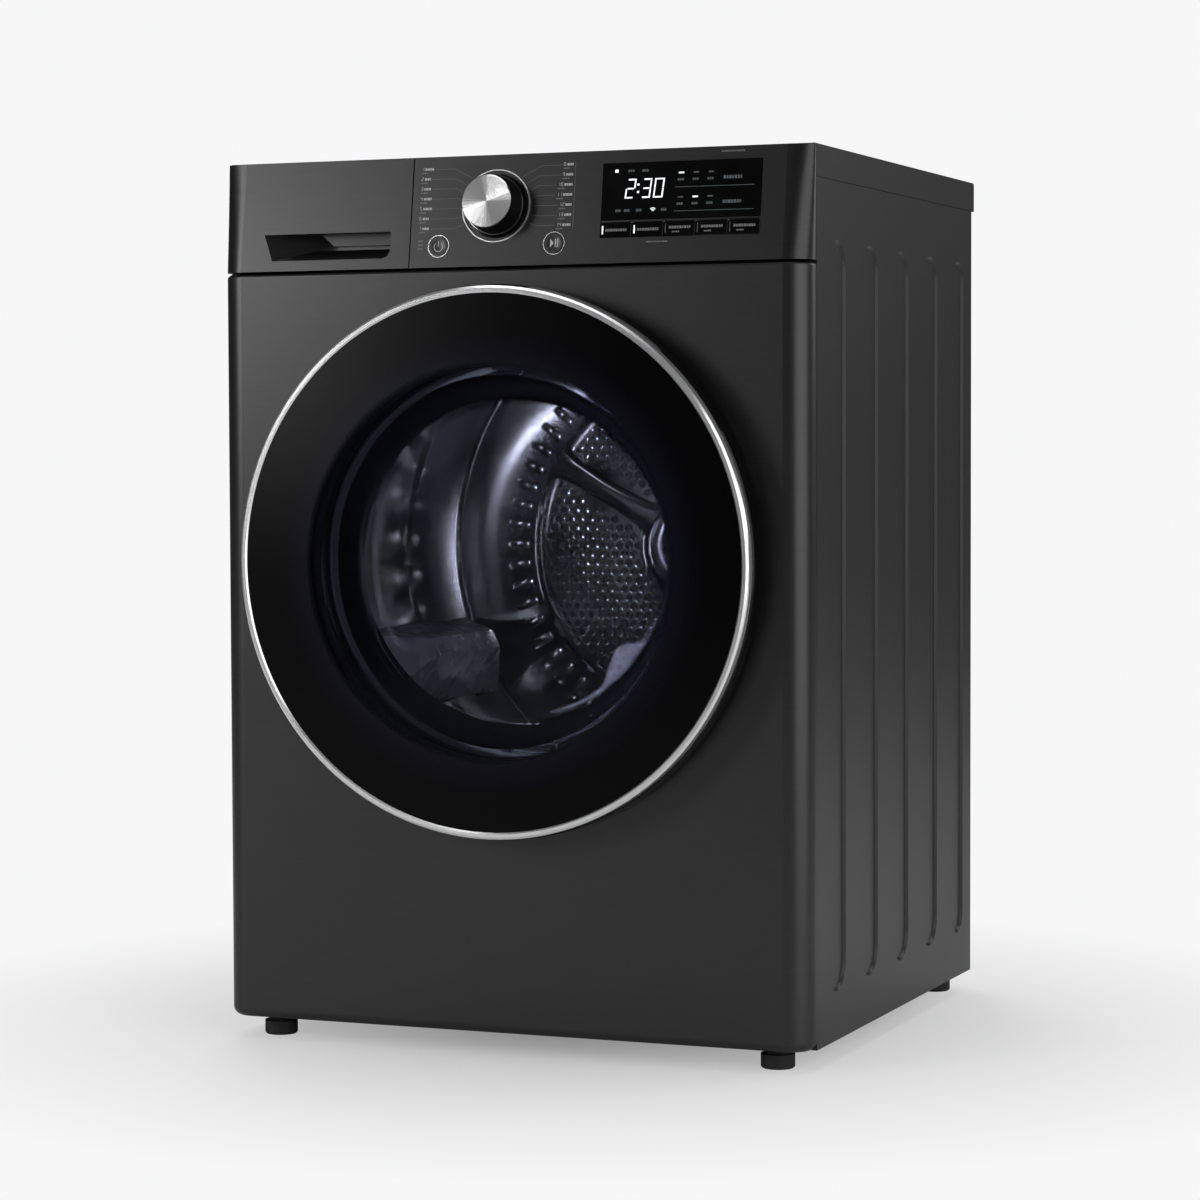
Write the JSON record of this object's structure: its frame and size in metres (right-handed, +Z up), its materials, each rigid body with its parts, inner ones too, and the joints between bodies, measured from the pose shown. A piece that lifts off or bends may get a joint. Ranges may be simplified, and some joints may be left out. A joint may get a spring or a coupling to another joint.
{
  "type": "clothes dryer",
  "caption": "Front-loading heat-pump clothes dryer with a round glass door, tumbling drum, programme dial, display with push keys and a pull-out water drawer.",
  "frame": {"origin": "on the floor under the middle of the machine's bounding box", "axes": "+Z up, -Y out of the front (door side), +X to the right seen from the front"},
  "size_m": [0.6, 0.6159, 0.85],
  "materials": {
    "graphite_front": "satin brushed graphite",
    "graphite_side": "satin graphite paint",
    "graphite_top": "satin graphite paint",
    "panel_plastic": "satin",
    "galvanised_steel": "galvanised",
    "bright_trim": "polished",
    "black_gloss": "gloss",
    "smoked_glass": "smoked",
    "bowl_glass": "clear",
    "drum_steel": "stainless",
    "grey_plastic": "moulded",
    "black_plastic": "moulded",
    "rubber_black": "matt",
    "felt": "felt",
    "alloy_fins": "rolled",
    "steel": "zinc plated",
    "spun_alloy": "spun",
    "lamp_lens": "frosted"
  },
  "bodies": {
    "cabinet": {"front_panel": "graphite_front", "left_side_panel": "graphite_side", "right_side_panel": "graphite_side", "worktop": "graphite_top", "rear_panel": "galvanised_steel", "rear_duct_cover": "galvanised_steel", "panel_screws": "steel", "base_tub": "black_plastic", "front_bulkhead": "grey_plastic", "door_gasket": "rubber_black", "drum_lamp": "lamp_lens", "front_felt": "felt", "rear_bulkhead": "galvanised_steel", "drive_belt": "rubber_black", "motor_body": "steel", "fan_scroll": "black_plastic", "evaporator": "alloy_fins", "condenser": "alloy_fins", "heat_exchanger_lid": "black_plastic", "compressor": "steel", "drain_spigot": "black_plastic", "cord_gland": "black_plastic", "control_panel": "panel_plastic", "display_window": "black_gloss", "control_rings": "bright_trim", "drawer_rail": "grey_plastic", "hinge_bracket": "steel"},
    "drum": {"drum_shell": "drum_steel", "drum_rear_panel": "drum_steel", "drum_lifter_1": "grey_plastic", "drum_lifter_2": "grey_plastic", "drum_lifter_3": "grey_plastic", "drum_shaft": "steel"},
    "roller_left": {"roller_left": "black_plastic"},
    "roller_right": {"roller_right": "black_plastic"},
    "motor_rotor": {"motor_rotor": "steel", "fan_wheel": "black_plastic"},
    "door": {"door_frame": "black_gloss", "door_inner_frame": "grey_plastic", "door_ring": "bright_trim", "door_glass": "smoked_glass", "door_bowl": "bowl_glass", "door_hinge_leaf": "steel", "latch_hook": "grey_plastic"},
    "water_drawer": {"drawer_front": "panel_plastic", "tank_body": "grey_plastic"},
    "lint_filter": {"lint_filter": "grey_plastic"},
    "foot_front_left": {"foot_front_left": "rubber_black"},
    "foot_front_right": {"foot_front_right": "rubber_black"},
    "foot_rear_left": {"foot_rear_left": "rubber_black"},
    "foot_rear_right": {"foot_rear_right": "rubber_black"},
    "dial": {"dial_body": "black_gloss", "dial_cap": "spun_alloy"},
    "power_button": {"power_button": "panel_plastic"},
    "start_button": {"start_button": "panel_plastic"},
    "option_key_1": {"option_key_1": "black_gloss"},
    "option_key_2": {"option_key_2": "black_gloss"},
    "option_key_3": {"option_key_3": "black_gloss"},
    "option_key_4": {"option_key_4": "black_gloss"},
    "option_key_5": {"option_key_5": "black_gloss"}
  },
  "joints": [
    {"name": "drum_spin", "type": "hinge", "parent": "cabinet", "child": "drum", "pos_m": [0, 0.2, 0.467], "axis": [0, -1, 0], "continuous": true},
    {"name": "roller_left_spin", "type": "hinge", "parent": "cabinet", "child": "roller_left", "pos_m": [-0.18027, -0.16, 0.20954], "axis": [0, -1, 0], "continuous": true},
    {"name": "roller_right_spin", "type": "hinge", "parent": "cabinet", "child": "roller_right", "pos_m": [0.18027, -0.16, 0.20954], "axis": [0, -1, 0], "continuous": true},
    {"name": "motor_spin", "type": "hinge", "parent": "cabinet", "child": "motor_rotor", "pos_m": [-0.15, 0.1, 0.104], "axis": [0, -1, 0], "continuous": true},
    {"name": "door_hinge", "type": "hinge", "parent": "cabinet", "child": "door", "pos_m": [-0.254, -0.284, 0.467], "axis": [0, 0, -1], "range_deg": [0, 145]},
    {"name": "drawer_slide", "type": "slide", "parent": "cabinet", "child": "water_drawer", "axis": [0, -1, 0], "range_m": [0, 0.4]},
    {"name": "filter_lift", "type": "slide", "parent": "cabinet", "child": "lint_filter", "axis": [0, 0, 1], "range_m": [0, 0.12]},
    {"name": "dial_turn", "type": "hinge", "parent": "cabinet", "child": "dial", "pos_m": [-0.0095, -0.25393, 0.8005], "axis": [0, -0.9899, 0.1414], "continuous": true},
    {"name": "power_button_push", "type": "slide", "parent": "cabinet", "child": "power_button", "axis": [0, 0.9899, -0.1414], "range_m": [0, 0.001], "stiffness_N_per_m": 1500, "springref_m": -0.0005},
    {"name": "start_button_push", "type": "slide", "parent": "cabinet", "child": "start_button", "axis": [0, 0.9899, -0.1414], "range_m": [0, 0.001], "stiffness_N_per_m": 1500, "springref_m": -0.0005},
    {"name": "option_key_1_push", "type": "slide", "parent": "cabinet", "child": "option_key_1", "axis": [0, 0.9899, -0.1414], "range_m": [0, 0.0008], "stiffness_N_per_m": 1500, "springref_m": -0.0005},
    {"name": "option_key_2_push", "type": "slide", "parent": "cabinet", "child": "option_key_2", "axis": [0, 0.9899, -0.1414], "range_m": [0, 0.0008], "stiffness_N_per_m": 1500, "springref_m": -0.0005},
    {"name": "option_key_3_push", "type": "slide", "parent": "cabinet", "child": "option_key_3", "axis": [0, 0.9899, -0.1414], "range_m": [0, 0.0008], "stiffness_N_per_m": 1500, "springref_m": -0.0005},
    {"name": "option_key_4_push", "type": "slide", "parent": "cabinet", "child": "option_key_4", "axis": [0, 0.9899, -0.1414], "range_m": [0, 0.0008], "stiffness_N_per_m": 1500, "springref_m": -0.0005},
    {"name": "option_key_5_push", "type": "slide", "parent": "cabinet", "child": "option_key_5", "axis": [0, 0.9899, -0.1414], "range_m": [0, 0.0008], "stiffness_N_per_m": 1500, "springref_m": -0.0005},
    {"name": "foot_front_left_adjust", "type": "slide", "parent": "cabinet", "child": "foot_front_left", "axis": [0, 0, 1], "range_m": [-0.015, 0]},
    {"name": "foot_front_right_adjust", "type": "slide", "parent": "cabinet", "child": "foot_front_right", "axis": [0, 0, 1], "range_m": [-0.015, 0]},
    {"name": "foot_rear_left_adjust", "type": "slide", "parent": "cabinet", "child": "foot_rear_left", "axis": [0, 0, 1], "range_m": [-0.015, 0]},
    {"name": "foot_rear_right_adjust", "type": "slide", "parent": "cabinet", "child": "foot_rear_right", "axis": [0, 0, 1], "range_m": [-0.015, 0]}
  ],
  "couplings": [
    {"joint": "roller_left_spin", "follows": "drum_spin", "ratio": -9.4667},
    {"joint": "roller_right_spin", "follows": "drum_spin", "ratio": -9.4667},
    {"joint": "motor_spin", "follows": "drum_spin", "ratio": 22.328}
  ]
}
